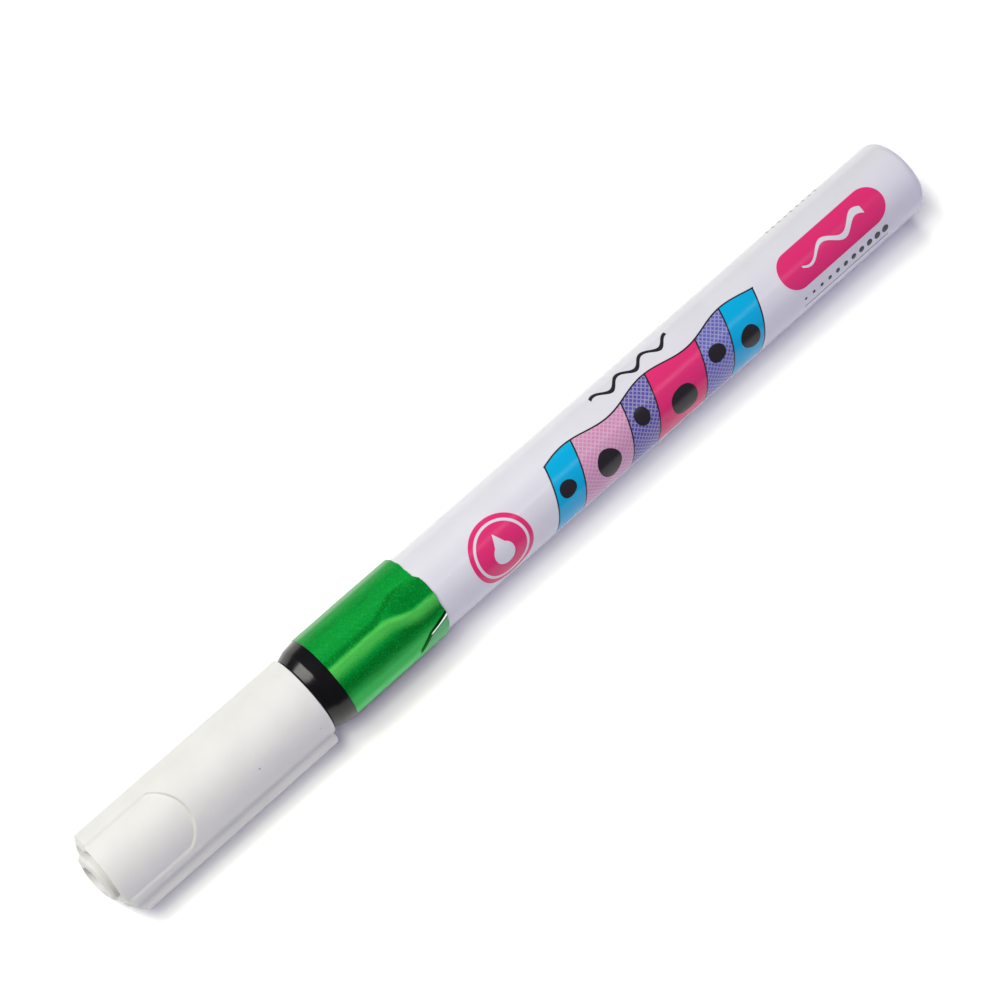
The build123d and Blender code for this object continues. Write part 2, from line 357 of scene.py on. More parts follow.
class NodeKit:
    """One material's node tree, with short ways to add nodes."""

    def __init__(self, name: str) -> None:
        """Makes an empty material.

        Args:
            name: Name of the material.
        """
        self.material = bpy.data.materials.new(name)
        self.material.use_nodes = True
        self.tree = self.material.node_tree
        self.tree.nodes.clear()

    def node(self, kind: str, settings: dict, sockets: dict) -> bpy.types.Node:
        """Adds a node, sets its settings, then its sockets.

        Args:
            kind: Blender's type name of the node.
            settings: Attributes by name.
            sockets: Values, colours or terms by input name or number.

        Returns:
            The node.
        """
        made = self.tree.nodes.new(kind)
        for key, value in settings.items():
            setattr(made, key, value)
        for key, value in sockets.items():
            socket = made.inputs[key]
            if isinstance(value, Term):
                self.tree.links.new(value.socket, socket)
            elif isinstance(value, tuple) and socket.type == "RGBA":
                socket.default_value = (*value, 1)
            else:
                socket.default_value = value
        return made

    def term(self, kind: str, settings: dict, sockets: dict, output: Union[int, str] = 0) -> Term:
        """One output of a new node."""
        return Term(self, self.node(kind, settings, sockets).outputs[output])

    def math(self, operation: str, *values: Number) -> Term:
        """A Math node on up to three values."""
        return self.term("ShaderNodeMath", {"operation": operation}, dict(enumerate(values)))

    def length(self, a: Term, b: Term) -> Term:
        """The hypotenuse over two sides."""
        return self.math("SQRT", a * a + b * b)

    def place(self) -> Term:
        """Object coordinates in millimetres, as a vector."""
        where = self.term("ShaderNodeTexCoord", {}, {}, "Object")
        return self.term("ShaderNodeVectorMath", {"operation": "SCALE"}, {0: where, "Scale": 1 / MM})

    def axes(self, where: Term) -> tuple[Term, ...]:
        """The x, y and z of a vector."""
        made = self.node("ShaderNodeSeparateXYZ", {}, {0: where})
        return tuple(Term(self, output) for output in made.outputs)

    def vector(self, x: Number, y: Number, z: Number) -> Term:
        """A vector of three values."""
        return self.term("ShaderNodeCombineXYZ", {}, {0: x, 1: y, 2: z})

    def unrolled(self, where: Term, radius: float) -> tuple[Term, Term]:
        """Place along the marker, and down round it from the line that faces the viewer, in millimetres."""
        x, y, z = self.axes(where)
        return x, (VIEW_RISE - self.math("ARCTAN2", z, y * -1.0)) * radius

    def drawn_out(self, where: Term, share: float) -> Term:
        """A place with its x shortened, so that a noise there is drawn out along the marker."""
        x, y, z = self.axes(where)
        return self.vector(x * share, y, z)

    def noise(self, where: Term, size: float, detail: float) -> Term:
        """Noise of about that grain size in millimetres, from 0 to 1."""
        sockets = {"Vector": where, "Scale": 1 / size, "Detail": detail}
        return self.term("ShaderNodeTexNoise", {}, sockets)

    def distance(self, where: Term, point: Place) -> Term:
        """Distance from a point in millimetres."""
        return self.term("ShaderNodeVectorMath", {"operation": "DISTANCE"}, {0: where, 1: point}, "Value")

    def mix(self, share: Number, first: Union[Colour, Term], second: Union[Colour, Term]) -> Term:
        """Colour that goes from the first to the second as share goes from 0 to 1."""
        return self.term("ShaderNodeMix", {"data_type": "RGBA"}, {0: share, 6: first, 7: second}, 2)

    def clouded(self, colour: Colour, noise: Term, spread: Span, tones: Span) -> Term:
        """Colour that goes from one tone of it to another as a noise goes over a spread."""
        return self.mix(noise.rise(*spread), shade(colour, tones[0]), shade(colour, tones[1]))

    def bump(self, height: Term, strength: float, depth: float) -> Term:
        """Normal that a height from 0 to 1, of that depth in millimetres, gives."""
        sockets = {"Height": height, "Strength": strength, "Distance": depth * MM}
        return self.term("ShaderNodeBump", {}, sockets)

    def surface(self, sockets: dict) -> bpy.types.Material:
        """Closes the tree with a principled shader.

        Args:
            sockets: The shader's values, colours and terms by name.

        Returns:
            The material.
        """
        shader = self.term("ShaderNodeBsdfPrincipled", {}, sockets)
        self.node("ShaderNodeOutputMaterial", {}, {"Surface": shader})
        return self.material


class Finish:
    """A kind of material; each kind fills its principled shader's sockets."""

    def sockets(self, kit: NodeKit, where: Term) -> dict:
        """Works out values, colours and terms by socket name."""
        raise NotImplementedError

    def material(self, name: str) -> bpy.types.Material:
        """Makes the material under that name."""
        kit = NodeKit(name)
        return kit.surface(self.sockets(kit, kit.place()))


# Finishes

MIDDLE = (0.3, 0.7)  # where most of a noise's values lie


@dataclass(frozen=True)
class MouldedPlastic(Finish):
    """Moulded plastic: fine grain, faint clouding, and small dark specks where given."""

    colour: Colour
    roughness: float
    grain_size: float = 0.12
    relief: float = 0.25
    specular: float = 0.5
    specks: tuple[tuple[Place, float], ...] = ()

    def sockets(self, kit: NodeKit, where: Term) -> dict:
        """Clouds the colour, sets the specks on it and grains the surface.

        Args:
            kit: The material's node kit.
            where: Object coordinates in millimetres.

        Returns:
            Values, colours and terms by socket name.
        """
        grain = kit.noise(where, self.grain_size, 3)
        cloud = kit.noise(where, 4.0, 3)
        colour = kit.clouded(self.colour, cloud, MIDDLE, (0.975, 1.015))
        for place, radius in self.specks:
            speck = kit.distance(where, place).fall(radius / 2, radius)
            colour = kit.mix(speck * 0.7, colour, shade(self.colour, 0.25))
        return {
            "Base Color": colour,
            "Roughness": self.roughness + cloud.swing(0.12) + grain.swing(0.1),
            "Specular IOR Level": self.specular,
            "Normal": kit.bump(grain, self.relief, 0.02),
        }


@dataclass(frozen=True)
class Sheet:
    """A round wall laid flat: u runs along the marker and v down round it, in millimetres."""

    kit: NodeKit
    u: Term
    v: Term

    def ink(self, share: Term, colour: Term, ink: Ink) -> Term:
        """The colour so far with an ink over a share of it."""
        return self.kit.mix(share, colour, ink.value)


@dataclass(frozen=True)
class Swatch:
    """One swatch of the ribbon: where it starts and ends, its ink, and its blot's place and radius."""

    start: float
    end: float
    ink: Ink
    tone: Tone
    blot: Place


@dataclass(frozen=True)
class PrintedLacquer(Finish):
    """Gloss white lacquer with a faint orange peel and printed motifs."""

    radius: float = 5.5
    edge: float = 0.06
    fade: float = 0.1
    clean: float = 0.02
    roundel: Span = (-31.1, 2.7)
    disc: float = 4.5
    ring: Span = (3.55, 3.85)
    drop: float = 1.45
    neck: Span = (-2.35, 0.4)
    hatch_pitch: float = 0.5
    hatch_share: float = 0.34
    ribbon_low: float = -1.7
    ribbon_high: float = 7.4
    slant: float = 0.35
    keyline: float = 0.16
    swatches: tuple[Swatch, ...] = (
        Swatch(-22.0, -17.4, Ink.CYAN, Tone.SOLID, (-19.8, 2.2, 1.15)),
        Swatch(-17.4, -9.2, Ink.PALE_PINK, Tone.HATCHED, (-13.5, 3.3, 1.85)),
        Swatch(-9.2, -4.6, Ink.VIOLET, Tone.HATCHED, (-6.8, 1.5, 1.1)),
        Swatch(-4.6, 3.6, Ink.PINK, Tone.SOLID, (-0.7, 3.6, 1.9)),
        Swatch(3.6, 8.4, Ink.PERIWINKLE, Tone.HATCHED, (6.2, 1.8, 1.2)),
        Swatch(8.4, 13.8, Ink.CYAN, Tone.SOLID, (11.1, 3.2, 1.5)),
    )
    pill: Span = (27.8, 0.7)
    pill_half: float = 6.4
    pill_radius: float = 2.65
    stroke_half: float = 5.6
    dots_v: float = 4.9
    dots_half: float = 8.0
    dot_pitch: float = 1.45
    rule_v: float = 6.2
    rule_half: float = 7.6
    squiggle: Span = (-3.4, -4.1)
    squiggle_half: float = 6.6
    ticks_u: float = 28.0
    ticks_half: float = 5.0
    tick_pitch: float = 1.1

    def tinted(self, sheet: Sheet, swatch: Swatch) -> Union[Colour, Term]:
        """A swatch's ink, solid or crossed by fine white lines.

        Args:
            sheet: The wall laid flat.
            swatch: The swatch.

        Returns:
            The ink's colour over the sheet.
        """
        if swatch.tone is Tone.SOLID:
            return swatch.ink.value
        wave = TURN / self.hatch_pitch * 0.7
        lines = ((sheet.u + sheet.v) * wave).sine().most(((sheet.u - sheet.v) * wave).sine())
        return sheet.kit.mix(lines.rise(0.3, 0.95) * self.hatch_share, swatch.ink.value, Ink.WHITE.value)

    def print_roundel(self, sheet: Sheet, colour: Term) -> Term:
        """Pink disc with a white ring and a white drop in it: a circle under a neck that narrows.

        Args:
            sheet: The wall laid flat.
            colour: The colour so far.

        Returns:
            The colour with this over it.
        """
        du, dv = sheet.u - self.roundel[0], sheet.v - self.roundel[1]
        reach = sheet.kit.length(du, dv)
        colour = sheet.ink(reach.under(self.disc, self.edge), colour, Ink.PINK)
        ring = reach.within(*self.ring, self.edge)
        drop = sheet.kit.length(du, dv - 0.55).under(self.drop, self.edge)
        flank = abs(du) - (dv - self.neck[0]) * 0.46
        neck = flank.under(0, self.edge) * dv.within(*self.neck, self.clean)
        return sheet.ink(ring.most(drop).most(neck), colour, Ink.WHITE)

    def print_ribbon(self, sheet: Sheet, colour: Term) -> Term:
        """Slanted swatches under a waved top edge, each with a round blot, divided by black keylines.

        Args:
            sheet: The wall laid flat.
            colour: The colour so far.

        Returns:
            The colour with this over it.
        """
        u, v = sheet.u, sheet.v
        across = u + (v - 2.8) * self.slant
        depth = v - (self.ribbon_low + (u * 0.46).sine() * 0.55)
        upper = v.under(self.ribbon_high, self.edge)
        inside = depth.rise(0, self.edge) * upper
        lines = depth.within(-self.clean, self.keyline, self.edge)
        for swatch in self.swatches:
            band = across.within(swatch.start, swatch.end, self.edge) * inside
            colour = sheet.kit.mix(band, colour, self.tinted(sheet, swatch))
            blot_u, blot_v, size = swatch.blot
            stretch = size + (v - blot_v) * 0.18 + (u * 1.7).sine() * 0.12
            blot = sheet.kit.length(u - blot_u, v - blot_v) - stretch
            lines = lines.most(blot.under(0, self.edge))
        start, end = self.swatches[0].start, self.swatches[-1].end
        for divider in (*(swatch.start for swatch in self.swatches), end):
            lines = lines.most(abs(across - divider).under(self.keyline / 2, self.edge))
        whole = across.within(start - self.keyline, end + self.keyline, self.clean)
        return sheet.ink(lines * whole * depth.rise(-self.edge, 0) * upper, colour, Ink.BLACK)

    def print_pill(self, sheet: Sheet, colour: Term) -> Term:
        """Pink pill with a white stroke that swells along its wave, over growing dots and a rule.

        Args:
            sheet: The wall laid flat.
            colour: The colour so far.

        Returns:
            The colour with this over it.
        """
        du, dv = sheet.u - self.pill[0], sheet.v - self.pill[1]
        past = abs(du).most(self.pill_half) - self.pill_half
        colour = sheet.ink(sheet.kit.length(past, dv).under(self.pill_radius, self.edge), colour, Ink.PINK)
        wave = abs(dv - (du * 1.05).sine() * 0.75)
        weight = 0.12 + (du + self.stroke_half) * 0.035
        stroke = (wave - weight).under(0, self.edge) * abs(du).under(self.stroke_half, self.fade)
        colour = sheet.ink(stroke, colour, Ink.WHITE)
        cell = (sheet.kit.math("FRACT", du / self.dot_pitch + 0.5) - 0.5) * self.dot_pitch
        size = 0.16 + (du + self.dots_half) * 0.024
        dots = (sheet.kit.length(cell, sheet.v - self.dots_v) - size).under(0, self.edge)
        dots = dots * abs(du).under(self.dots_half, self.clean)
        rule = abs(sheet.v - self.rule_v).under(0.06, self.edge) * abs(du).under(self.rule_half, self.fade)
        return sheet.ink(dots.most(rule), colour, Ink.BLACK)

    def print_squiggle(self, sheet: Sheet, colour: Term) -> Term:
        """Black waved line above the ribbon and a row of ticks on the far side.

        Args:
            sheet: The wall laid flat.
            colour: The colour so far.

        Returns:
            The colour with this over it.
        """
        u, v = sheet.u, sheet.v
        wave = v - self.squiggle[1] - (u * 1.5).sine() * 0.7
        line = abs(wave).under(0.3, self.edge)
        line = line * abs(u - self.squiggle[0]).under(self.squiggle_half, self.fade)
        ticks = (u * (TURN / self.tick_pitch)).sine().rise(0.45, 0.6) * v.within(-8.3, -7.0, self.edge)
        ticks = ticks * abs(u - self.ticks_u).under(self.ticks_half, self.clean)
        return sheet.ink(line.most(ticks), colour, Ink.BLACK)

    def sockets(self, kit: NodeKit, where: Term) -> dict:
        """Clouds the white and prints the motifs on it.

        Args:
            kit: The material's node kit.
            where: Object coordinates in millimetres.

        Returns:
            Values, colours and terms by socket name.
        """
        cloud = kit.noise(where, 6.0, 3)
        peel = kit.noise(where, 0.55, 2)
        colour = kit.clouded(Ink.WHITE.value, cloud, MIDDLE, (0.985, 1.01))
        sheet = Sheet(kit, *kit.unrolled(where, self.radius))
        for layer in (self.print_roundel, self.print_ribbon, self.print_pill, self.print_squiggle):
            colour = layer(sheet, colour)
        return {
            "Base Color": colour,
            "Roughness": 0.2 + cloud.swing(0.06),
            "Specular IOR Level": 0.28,
            "Normal": kit.bump(peel, 0.06, 0.02),
        }


@dataclass(frozen=True)
class CreasedFilm(Finish):
    """Green metallised film: drawn streaks, glitter, and painted highlights, shade and reflections beside
    its creases and at its edges.
    """

    green: Colour = (0.0006, 0.218, 0.027)
    # dark: painted shade in the runs beside the creases and in the fold's slit; also the glitter's dark
    # specks
    dark: Colour = (0.0002, 0.108, 0.0095)
    # light: painted highlight for the lighter run above the crease; also the glitter's bright specks
    light: Colour = (0.004, 0.25, 0.032)
    # painted reflection of the floor on the film's lower side
    lower: Colour = (0.03, 0.4, 0.075)
    # painted highlight along the long crease's ridge
    painted_ridge_highlight: Colour = (0.1, 0.56, 0.095)
    # painted highlight line along the fold's slit
    painted_glint: Colour = (0.95, 1.0, 0.9)
    sheen: Colour = (0.35, 1.0, 0.45)
    # painted reflection along the top edge, where the film turns away
    painted_upper_rim_reflection: Colour = (0.14, 0.29, 0.16)
    # painted reflection along the lower edge
    painted_lower_rim_reflection: Colour = (0.09, 0.55, 0.16)
    # painted sheen on the lifted part past the fold
    painted_flap_sheen: Colour = (0.13, 0.33, 0.18)
    radius: float = 5.86
    fold_x: float = -44.45
    fold_v: float = 5.08

    def runs(self, sheet: Sheet, colour: Term) -> Term:
        """Paints highlights, shade and floor reflections on the film beside the long crease and towards its
        two sides, one run over another.

        Args:
            sheet: The wall laid flat.
            colour: The colour so far.

        Returns:
            The colour with this over it.
        """
        x, v = sheet.u, sheet.v
        crease = v - x.rise(-48.6, -44.0) * 1.35 + 0.2
        gloom = v + 1.0 + x.rise(-49.5, -45.0) * 1.2
        hollow = gloom.rise(0.0, 0.6) * crease.fall(-0.7, -0.3) * x.rise(-48.0, -46.0)
        layers = (
            # painted highlight: a lighter run above the crease
            (abs(v + 3.0).fall(0.2, 1.7) * 0.7, self.light),
            # painted shade: a dark run along the gloom line, fading towards the rear
            (abs(gloom).fall(0.1, 0.65) * 0.75 * x.fall(-44.5, -42.5), self.dark),
            # painted shade in the hollow between the gloom line and the crease
            (hollow * 0.6, self.dark),
            # painted shade: a dark run below the crease
            (abs(v - 2.6).fall(0.2, 1.3) * 0.85, self.dark),
            # painted reflection of the floor, low on the near side
            (v.rise(3.6, 5.1), self.lower),
            # painted reflection along the lower edge
            (v.rise(5.8, 7.0), self.painted_lower_rim_reflection),
            # painted shade on the underside, towards the floor
            (v.rise(7.4, 9.0), shade(self.green, 0.8)),
            # painted reflection along the top edge
            (v.fall(-7.7, -6.5) * v.rise(-10.6, -9.3), self.painted_upper_rim_reflection),
            # painted highlight on the crease's ridge
            (crease.rise(-0.5, 0.05) * crease.fall(0.2, 1.9) * 0.74, self.painted_ridge_highlight),
        )
        for share, tone in layers:
            colour = sheet.kit.mix(share, colour, tone)
        return colour

    def fold(self, sheet: Sheet, colour: Term) -> tuple[Term, Term]:
        """Paints light and shade at the fold on the rear edge: a dull painted sheen past it, painted shade
        in the slit before it, a painted highlight line in the slit.

        Args:
            sheet: The wall laid flat.
            colour: The colour so far.

        Returns:
            The shaded colour, and where the bare slit is.
        """
        x, v = sheet.u, sheet.v
        past = x - self.fold_x
        away = v + past * 0.345 + past.least(0.0) * 0.495 - self.fold_v
        painted_flap_sheen = away.rise(0.3, 0.5) * x.rise(-46.4, -44.8) * v.fall(7.2, 8.6)
        slit = away.within(-0.4, 0.46, 0.1) * x.rise(-46.7, -46.3)
        line = away.within(-0.02, 0.26, 0.08) * x.rise(-44.5, -44.1)
        # painted sheen past the fold, painted shade in the slit, painted highlight line along the slit
        layers = ((painted_flap_sheen * 0.7, self.painted_flap_sheen), (slit, shade(self.dark, 0.4)), (line, self.painted_glint))
        for share, tone in layers:
            colour = sheet.kit.mix(share, colour, tone)
        return colour, slit * (1 - line)

    def sockets(self, kit: NodeKit, where: Term) -> dict:
        """Streaks the green, paints highlight, shade and reflection runs that waver with the streaks, adds
        glitter, and paints the fold's highlight and shade.

        Args:
            kit: The material's node kit.
            where: Object coordinates in millimetres.

        Returns:
            Values, colours and terms by socket name.
        """
        x, v = kit.unrolled(where, self.radius)
        streaks = kit.noise(kit.drawn_out(where, 0.25), 0.9, 3)
        glitter = kit.noise(where, 0.18, 1)
        colour = kit.clouded(self.green, streaks, (0.3, 0.55), (0.86, 1.0))
        colour = self.runs(Sheet(kit, x + streaks.swing(1.2), v + streaks.swing(0.5)), colour)
        colour = kit.mix(glitter.rise(0.5, 0.72) * 0.4, colour, shade(self.light, 1.6))
        colour = kit.mix(glitter.fall(0.3, 0.5) * 0.24, colour, self.dark)
        colour, slit = self.fold(Sheet(kit, x, v), colour)
        return {
            "Base Color": colour,
            "Metallic": 0.15 + slit * 0.8,
            "Roughness": 0.42 + glitter.swing(0.15),
            "Specular IOR Level": 0.14,
            "Specular Tint": self.sheen,
            "Coat Weight": 0.05,
            "Coat Roughness": 0.25,
            "Normal": kit.bump(streaks + glitter * 0.2, 0.3, 0.05),
        }


@dataclass(frozen=True)
class PressedFibre(Finish):
    """Fibres drawn along the axis, stained with paint towards the tip."""

    colour: Colour
    stain: Colour
    stain_start: float
    stain_end: float

    def sockets(self, kit: NodeKit, where: Term) -> dict:
        """Draws the fibres and soaks them towards the tip, with a blotched front.

        Args:
            kit: The material's node kit.
            where: Object coordinates in millimetres.

        Returns:
            Values, colours and terms by socket name.
        """
        fibre = kit.noise(kit.drawn_out(where, 0.08), 0.11, 3)
        blotch = kit.noise(where, 0.8, 3)
        soak = (kit.axes(where)[0] + blotch.swing(1.6)).fall(self.stain_end, self.stain_start)
        colour = kit.clouded(self.colour, fibre, (0.35, 0.65), (0.72, 1.0))
        return {
            "Base Color": kit.mix(soak * 0.85, colour, self.stain),
            "Roughness": 0.85 - soak * 0.3,
            "Normal": kit.bump(fibre, 0.5, 0.05),
        }


@dataclass(frozen=True)
class SoftRubber(Finish):
    """Matte rubber with a dusty bloom."""

    colour: Colour = (0.03, 0.03, 0.032)

    def sockets(self, kit: NodeKit, where: Term) -> dict:
        """Lays the bloom over the colour, on a fine tooth.

        Args:
            kit: The material's node kit.
            where: Object coordinates in millimetres.

        Returns:
            Values, colours and terms by socket name.
        """
        bloom = kit.noise(where, 0.7, 4)
        return {
            "Base Color": kit.clouded(self.colour, bloom, (0.45, 0.75), (1.0, 2.2)),
            "Roughness": 0.7 + bloom * 0.2,
            "Normal": kit.bump(kit.noise(where, 0.08, 2), 0.3, 0.02),
        }


@dataclass(frozen=True)
class WetSteel(Finish):
    """Polished steel with fine drawn marks and a film of paint."""

    colour: Colour = (0.62, 0.61, 0.6)
    paint: Colour = (0.02, 0.3, 0.06)
    wet_share: float = 0.35

    def sockets(self, kit: NodeKit, where: Term) -> dict:
        """Spreads patches of paint over the marked steel, more of them as the wet share grows.

        Args:
            kit: The material's node kit.
            where: Object coordinates in millimetres.

        Returns:
            Values, colours and terms by socket name.
        """
        marks = kit.noise(where, 0.06, 3)
        wet = kit.noise(where, 0.9, 3).rise(0.62 - 0.3 * self.wet_share, 0.7)
        return {
            "Base Color": kit.mix(wet, self.colour, self.paint),
            "Metallic": 1 - wet,
            "Roughness": 0.2 + marks * 0.15 + wet * 0.2,
            "Normal": kit.bump(marks, 0.1, 0.01),
        }


@dataclass(frozen=True)
class PaperSweep(Finish):
    """Bright white backdrop paper with a faint tooth."""

    white: Colour = (0.965, 0.97, 0.948)
    glow: float = 0.04

    def sockets(self, kit: NodeKit, where: Term) -> dict:
        """Varies the white faintly and lets it glow a little.

        Args:
            kit: The material's node kit.
            where: Object coordinates in millimetres.

        Returns:
            Values, colours and terms by socket name.
        """
        return {
            "Base Color": kit.mix(kit.noise(where, 0.8, 4), shade(self.white, 0.99), self.white),
            "Roughness": 0.9,
            "Specular IOR Level": 0.1,
            "Emission Color": self.white,
            "Emission Strength": self.glow,
        }


# Pieces


@dataclass
class Piece:
    """A visual piece that stands for one CAD node and rides its body."""

    name: str
    node: str
    body: Body
    slot: Slot
    finish: Finish

    def skin(self) -> Skin:
        """Works out the piece's surface."""
        raise NotImplementedError

    def make(self) -> bpy.types.Object:
        """Builds, dresses and seats the piece.

        Returns:
            The finished object.
        """
        skin = self.skin()
        made = skin.to_object(self.name)
        made.data.materials.append(self.finish.material(self.slot.value + "_finish"))
        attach(made, self.body.value)
        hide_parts(self.node)
        LOG.info("%s: %d points", self.name, len(skin.points))
        return made


@dataclass
class Barrel(Piece):
    """Drawn can: closed rounded rear, plain wall, necked front."""

    radius: float = 5.5
    wall: float = 0.4
    front_x: float = -42.0
    rear_x: float = 42.8
    base: float = 0.9
    edge_round: float = 1.4
    neck_drop: float = 0.55
    mouth_x: float = -55.55
    columns: int = 192

    def skin(self) -> Skin:
        """Profile from the inner pole along the bore, round the mouth and back outside to the rear pole.

        Returns:
            The closed skin.
        """
        bore, neck = self.radius - self.wall, self.radius - self.neck_drop
        shoulder_x = self.front_x - self.neck_drop
        floor_x = self.rear_x - self.base
        profile = rounded([
            (floor_x, 0, 0),
            (floor_x, bore, 0.5),
            (self.front_x + self.wall, bore, 0.1),
            (shoulder_x + self.wall, neck - self.wall, 0.1),
            (self.mouth_x, neck - self.wall, 0.06),
            (self.mouth_x, neck, 0.12),
            (shoulder_x, neck, 0.15),
            (self.front_x, self.radius, 0.15),
            (self.rear_x, self.radius, self.edge_round),
            (self.rear_x, 0, 0),
        ], 9)
        return turned(profile, self.columns, False)


@dataclass
class FrontSection(Piece):
    """Black moulding: nose, neck with a snap bead, bevelled collar and hidden skirt, on a stepped bore."""

    nose_tip_x: float = -78.15
    nose_seal_x: float = -74.95
    nose_radius: float = 2.0
    neck_front_x: float = -68.75
    nose_base_radius: float = 3.39
    neck_radius: float = 4.49
    bead_x: float = -65.88
    bead_width: float = 0.9
    bead_height: float = 0.06
    shoulder_x: float = -60.15
    shoulder_radius: float = 5.19
    bevel_rear_x: float = -58.75
    bevel_radius: float = 5.7
    collar_rear_x: float = -57.0
    collar_radius: float = 5.9
    skirt_radius: float = 5.74
    skirt_rear_x: float = -42.6
    skirt_bore: float = 4.98
    flange_x: float = -57.15
    valve_bore: float = 3.28
    valve_front_x: float = -64.25
    wick_bore: float = 1.73
    wick_front_x: float = -70.29
    nib_bore: float = 1.15
    columns: int = 192

    def skin(self) -> Skin:
        """Closed profile: outside from the nose to the skirt, then back along the stepped bore.

        Returns:
            The closed skin.
        """
        bead_rear = self.bead_x + self.bead_width
        bead_radius = self.neck_radius + self.bead_height
        profile = rounded([
            (self.nose_tip_x, self.nib_bore, 0.1),
            (self.nose_tip_x, self.nose_radius, 0.4),
            (self.nose_seal_x, self.nose_radius, 0.4),
            (self.neck_front_x, self.nose_base_radius, 0.15),
            (self.neck_front_x, self.neck_radius, 0.45),
            (self.bead_x - 0.1, self.neck_radius, 0.06),
            (self.bead_x, bead_radius, 0.06),
            (bead_rear, bead_radius, 0.06),
            (bead_rear + 0.1, self.neck_radius, 0.06),
            (self.shoulder_x, self.neck_radius, 0.12),
            (self.shoulder_x, self.shoulder_radius, 0.16),
            (self.bevel_rear_x, self.bevel_radius, 0.16),
            (self.collar_rear_x, self.collar_radius, 0.14),
            (self.collar_rear_x, self.skirt_radius, 0.04),
            (self.skirt_rear_x, self.skirt_radius, 0.1),
            (self.skirt_rear_x, self.skirt_bore, 0.1),
            (self.flange_x, self.skirt_bore, 0.1),
            (self.flange_x, self.valve_bore, 0.1),
            (self.valve_front_x, self.valve_bore, 0.1),
            (self.valve_front_x, self.wick_bore, 0.1),
            (self.wick_front_x, self.wick_bore, 0.05),
            (self.wick_front_x, self.nib_bore, 0.05),
        ], 6, True)
        return turned(profile, self.columns, True)


@dataclass
class Nib(Piece):
    """Fibre rod with a tapered, rounded tip, worn slightly out of round."""

    tip_x: float = -81.75
    tip_radius: float = 0.5
    taper_rear_x: float = -79.85
    rear_x: float = -62.65
    radius: float = 1.1
    wear: float = 0.02
    columns: int = 72

    def skin(self) -> Skin:
        """Turned profile, moved in along the taper with one plus the cosine of twice the angle.

        Returns:
            The closed skin.
        """
        profile = rounded([
            (self.tip_x, 0, 0),
            (self.tip_x, self.tip_radius, 0.3),
            (self.taper_rear_x, self.radius, 0.6),
            (self.rear_x, self.radius, 0.08),
            (self.rear_x, 0, 0),
        ], 10)
        skin = turned(profile, self.columns, False)
        x, y, z = skin.points.T
        taper = smooth_step(-x, -self.taper_rear_x, -self.tip_x)
        worn = self.wear * taper * (1 + np.cos(2 * np.arctan2(z, y)))
        skin.points[:, 1:] *= (1 - worn / self.tip_radius * 0.5)[:, None]
        return skin


@dataclass(frozen=True)
class Crease:
    """A ridge along a path round the sleeve, given by shares of its length and angles in degrees.

    The height and the half width are in millimetres; skew narrows the lower flank, from 0 to 1.
    """

    at: Sequence[float]
    rise: Sequence[float]
    height: float
    half_width: float
    skew: float = 0.0
    outer_fade: float = 0.08
    inner_fade: float = 0.1

    def ridge(self, s: Array, angle: Array, radius: float) -> Array:
        """Height times a bell of the arc distance from the path, faded at the path's ends.

        Args:
            s: Share of the sleeve's length at each grid point.
            angle: Angle round the axis at each grid point.
            radius: The sleeve's radius.

        Returns:
            Height at each grid point.
        """
        path = np.radians(np.interp(s, self.at, self.rise))
        away = (angle - path + math.pi) % TURN - math.pi
        away = away * radius / self.half_width
        away = np.where(away < 0, away / (1 - self.skew), away)
        start, end = self.at[0], self.at[-1]
        ends = smooth_step(s, start - self.outer_fade, start + self.inner_fade)
        ends = ends * (1 - smooth_step(s, end - self.inner_fade, end + self.outer_fade))
        return self.height * np.exp(-away**2) * ends


